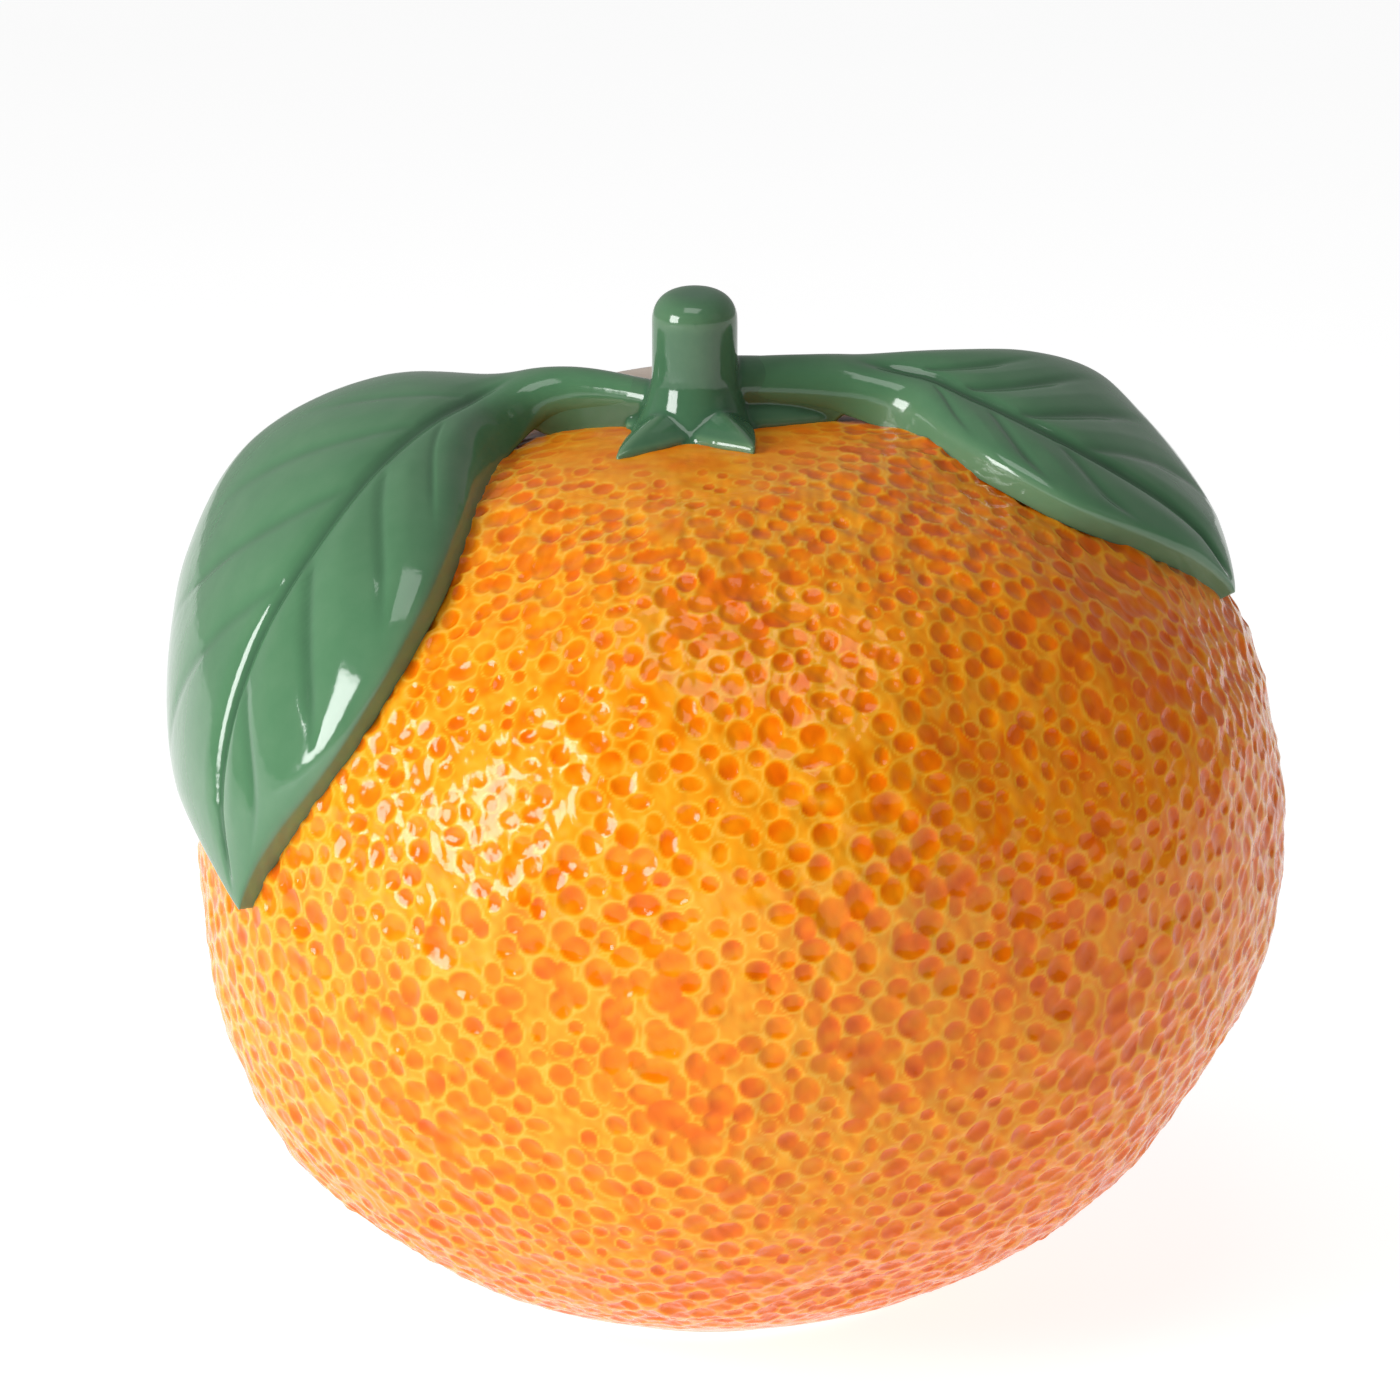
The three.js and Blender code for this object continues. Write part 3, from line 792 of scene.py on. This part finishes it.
def veined_blade(sprig, u, s, away, length):
    """How far the midrib and side veins are pressed in, how far the blade swells up, and where it is blade.

    u runs from the stem to the tip, s from the near margin (-1) to the far one (1), and away is the
    distance from the midrib."""
    blade = smoothstep(u, sprig["stalk_end"] - 0.02, sprig["stalk_end"] + 0.12)
    fade = blade * smoothstep(-u, -0.97, -0.85)
    rooted = u - sprig["vein_slope"] * np.abs(s) ** 0.85  # where a vein through here leaves the midrib
    inside = smoothstep(-np.abs(s), -0.88, -0.5) * smoothstep(away, 0.6, 2.4)
    grooves = np.zeros_like(away)
    beside = np.zeros_like(away)
    for side, veins in sprig["veins"].items():
        for start, strength in veins:
            gap = (rooted - start) * length * 0.8
            strong = strength * inside * (s * side > 0)
            grooves = np.maximum(grooves, strong * np.exp(-((gap / VEIN_WIDTH) ** 2)))
            beside = np.maximum(beside, strong * np.exp(-((gap / SWELL_SPAN) ** 2)))
    midrib = np.exp(-((away / MIDRIB_WIDTH) ** 2)) * blade * smoothstep(-u, -0.985, -0.93)
    pressed = np.maximum(MIDRIB_DEPTH * midrib, VEIN_DEPTH * grooves * fade)
    rise = fade * (1 - np.abs(s) ** 2.5) * smoothstep(away, 0.0, 6.0)
    return pressed, SWELL * (1 - np.minimum(beside, 1)) * rise, blade


def add_leaf(name, sprig, material, *nodes):
    """A stalk that widens into a blade: sections across the three rails, from the stem to the tip."""
    along = TIP_SHARE * np.arange(LEAF_STATIONS) / (LEAF_STATIONS - 1)
    near, midrib, far = (rail(sprig[key], along) for key in RAILS)
    u = along[:, None]
    over = np.sin((np.arange(LEAF_COLUMNS + 1) / LEAF_COLUMNS * 2 - 1) * np.pi / 2)
    s = np.concatenate([over, over[::-1][1:-1]])[None, :]
    side = np.concatenate([np.ones(LEAF_COLUMNS + 1), -np.ones(LEAF_COLUMNS - 1)])
    flat = smoothstep(u, sprig["stalk_end"] - 0.09, sprig["stalk_end"] + 0.13)
    # A section is round in the stalk and squarer in the blade, and thins out at the tip.
    power = mix(2.0, 4.2, flat)
    edge = side * np.clip(1 - np.abs(s) ** power, 0, 1) ** (1 / power)
    thin_tip = np.sqrt(np.clip((1 - u) / 0.1, 0.02, 1))
    thickness = mix(stalk_thickness(sprig, u), BLADE_THICKNESS, flat) * thin_tip
    place_on = (
        midrib[:, None, :]
        + s[..., None] * ((far - near) / 2)[:, None, :]
        + (s**2)[..., None] * ((far + near) / 2 - midrib)[:, None, :]
    )
    near_width = np.linalg.norm((near - midrib)[:, :2], axis=1)[:, None]
    far_width = np.linalg.norm((far - midrib)[:, :2], axis=1)[:, None]
    away = np.abs(s) * np.where(s > 0, far_width, near_width)
    length = np.linalg.norm(np.diff(midrib[:, :2], axis=0), axis=1).sum()
    pressed, swell, blade = veined_blade(sprig, u, s, away, length)
    upper = np.clip(edge, 0, 1)
    height = place_on[..., 2] + edge * thickness / 2 + upper * (swell - pressed)
    # The underside rests on the fruit, except along the far margin, which stands free.
    under = edge < 0
    seated = flat * (1 - smoothstep(s, 0.4, 0.75)) * under
    height = mix(height, SEAT, seated * np.clip(-edge * 1.6, 0, 1))
    height = np.where(under, np.maximum(height, SEAT), height)
    leaf = add_mesh(name, *loft(draped(place_on[..., 0], place_on[..., 1], height)))
    # Glaze pools in the pressed midrib and veins and thins at the margins; the underside, where the section
    # turns under, is darkened as painted shade.
    pool = 0.42 + 0.5 * pressed / MIDRIB_DEPTH - 0.3 * np.abs(s) ** 14 * blade + 0.12 * (1 - upper)
    paint(leaf, "pool", np.concatenate([np.clip(pool, 0, 1).ravel(), [0.4, 0.4]]))
    place(leaf, material, "leaf_glaze", *nodes)


# ---- Stem and calyx ----
SEPAL_EDGE = 0.7  # thickness at the margin
SEPALS = [  # bearing, reach, half-widths clockwise and anticlockwise, crest
    (-128, 22.5, 7.8, 7.0, 5.0),
    (-60, 21.5, 7.0, 7.8, 5.0),
    (9, 26, 5.0, 4.0, 6.0),
    (88, 14.5, 5.0, 5.0, 2.8),
    (170, 13, 5.0, 5.0, 4.0),
]
STEM_DOME = 5.2  # height of the rounded end
STEM_FLARE, FLARE_HEIGHT = 4.4, 12.5
STEM_DEPTH = 2  # how far the stem's root is sunk below the crown
STEM_BOW = 0.0875  # share of its length by which the stem's end is bowed to the front
END_SLOPE = 0.2  # of the end face, down to the front
CALYX_VOXEL = 0.36


def stem_rings():
    """The stub: flared at its root, with a domed end face that leans to the front."""
    root = float(crown_z(STEM_X, STEM_Y)) - STEM_DEPTH
    length = STEM_TOP - root
    profile = []
    for share in np.linspace(0, 1, 24):
        height = share * (length - STEM_DOME)
        profile.append((STEM_RADIUS + STEM_FLARE * max(0, 1 - height / FLARE_HEIGHT) ** 2, height))
    for share in np.linspace(0.08, 0.98, 12):
        turn = share * math.pi / 2
        height = length - STEM_DOME + STEM_DOME * math.sin(turn)
        profile.append((STEM_RADIUS * math.cos(turn) ** 0.55, height))
    turns = circle(48)
    rings = []
    for radius, height in profile:
        high = height / length
        x = STEM_X + radius * np.cos(turns)
        y = STEM_Y + radius * np.sin(turns) - STEM_BOW * height * high
        z = root + height + END_SLOPE * radius * np.sin(turns) * high**3
        rings.append(np.stack([x, y, z], -1))
    return np.array(rings)


def sepal_rings(bearing, reach, clockwise, anticlockwise, crest):
    """A pointed sepal, folded along its crest and lying on the crown."""
    turn = math.radians(bearing)
    way = np.array([math.cos(turn), math.sin(turn)])
    side = np.array([-way[1], way[0]])
    s = np.linspace(-1, 1, 17)
    rings = []
    for t in np.linspace(0, 0.985, 40):
        distance = mix(3.0, reach, t)
        width = (1 - t**1.7) * (0.85 + 0.15 * smoothstep(t, 0, 0.3))
        sideways = s * width * np.where(s > 0, anticlockwise, clockwise)
        x = STEM_X + way[0] * distance + side[0] * sideways
        y = STEM_Y + way[1] * distance + side[1] * sideways
        z = crown_z(x, y)
        thick = SEPAL_EDGE + (crest - SEPAL_EDGE) * (1 - t**1.6) * (1 - np.abs(s) ** 1.4)
        over = np.stack([x, y, z + thick], -1)
        under = np.stack([x, y, z - 0.8], -1)
        rings.append(np.concatenate([over, under[::-1]]))
    return np.array(rings)


def stalk_root(sprig):
    """The first stretch of a stalk, a little fuller than the leaf's own, with glaze filled in below it."""
    u = np.linspace(0.0, sprig["root_end"], 24)
    share = u / sprig["root_end"]
    near, midrib, far = (rail(sprig[key], u) for key in RAILS)
    turns = circle(28)
    full = 1.12 - 0.5 * share
    reach = np.cos(turns)[None, :] * full[:, None]
    place_on = midrib[:, None, :] + reach[..., None] * ((far - near) / 2)[:, None, :]
    thickness = stalk_thickness(sprig, u) * full
    height = place_on[..., 2] + np.sin(turns)[None, :] * thickness[:, None] / 2
    skirt = mix(-0.6, 3.5, smoothstep(share, 0.7, 1.0))[:, None]
    height = np.where(np.sin(turns)[None, :] < 0, np.minimum(height, skirt), height)
    return draped(place_on[..., 0], place_on[..., 1], np.maximum(height, -0.8))


def joined(parts):
    """One list of points, quads and tris from several."""
    points, quads, tris = [], [], []
    offset = 0
    for part_points, part_quads, part_tris in parts:
        points.append(part_points)
        quads.append(part_quads + offset)
        tris.append(part_tris + offset)
        offset += len(part_points)
    return np.concatenate(points), np.concatenate(quads), np.concatenate(tris)


def neighbour_means(values, starts, ends):
    """The mean of each vertex's neighbours along the edges."""
    count = len(values)
    degree = np.bincount(starts, minlength=count) + np.bincount(ends, minlength=count)
    sums = [
        np.bincount(starts, values[ends, axis], count) + np.bincount(ends, values[starts, axis], count)
        for axis in range(3)
    ]
    return np.stack(sums, -1) / degree[:, None]


def fuse(piece, voxel):
    """Joins the mesh into one skin, relaxed so that thick glaze seems to fill its corners.

    Returns how hollow the skin is at each vertex, where glaze would pool."""
    modifier = piece.modifiers.new("fuse", "REMESH")
    modifier.mode = "VOXEL"
    modifier.voxel_size = voxel * MM
    modifier.use_smooth_shade = True
    graph = bpy.context.evaluated_depsgraph_get()
    skin = bpy.data.meshes.new_from_object(piece.evaluated_get(graph))
    piece.modifiers.clear()
    piece.data = skin
    points = np.zeros(len(skin.vertices) * 3, np.float32)
    skin.vertices.foreach_get("co", points)
    points = points.reshape(-1, 3).astype(float)
    edges = np.zeros(len(skin.edges) * 2, np.int32)
    skin.edges.foreach_get("vertices", edges)
    starts, ends = edges.reshape(-1, 2).T
    # Pushes in and out alternate, which smooths without shrinking, and a few inward ones round it off.
    for push in (0.6, -0.52) * 10 + (0.5,) * 6:
        points += push * (neighbour_means(points, starts, ends) - points)
    skin.vertices.foreach_set("co", points.astype(np.float32).ravel())
    skin.update()
    normals = np.zeros(len(skin.vertices) * 3, np.float32)
    skin.vertex_normals.foreach_get("vector", normals)
    inward = neighbour_means(points, starts, ends) - points
    return (inward * normals.reshape(-1, 3)).sum(-1) / (voxel * MM)


def add_calyx(material):
    """The stem, the sepals and the stalks' roots, which thick glaze makes one."""
    parts = [loft(stem_rings())]
    parts += [loft(sepal_rings(*spec)) for spec in SEPALS]
    parts += [loft(stalk_root(LEFT)), loft(stalk_root(RIGHT))]
    calyx = add_mesh("stem_and_calyx", *joined(parts))
    hollow = fuse(calyx, CALYX_VOXEL)
    paint(calyx, "pool", np.clip(0.45 + 6 * hollow, 0, 1))
    nodes = ["stem", "sepal_front_left", "sepal_front_right", "sepal_right", "sepal_rear", "sepal_left"]
    place(calyx, material, "stem_glaze", *nodes)


# ---- Assembly ----
add_camera()
add_studio()
add_body(peel_material())
add_liner(liner_material())
add_foot(clay_material())
leaf_green = green_material("leaf_glaze", *LEAF_GREENS)
add_leaf("left_sprig", LEFT, leaf_green, "left_leaf", "left_petiole")
add_leaf("right_sprig", RIGHT, leaf_green, "right_leaf", "right_petiole")
add_calyx(green_material("stem_glaze", *STEM_GREENS))
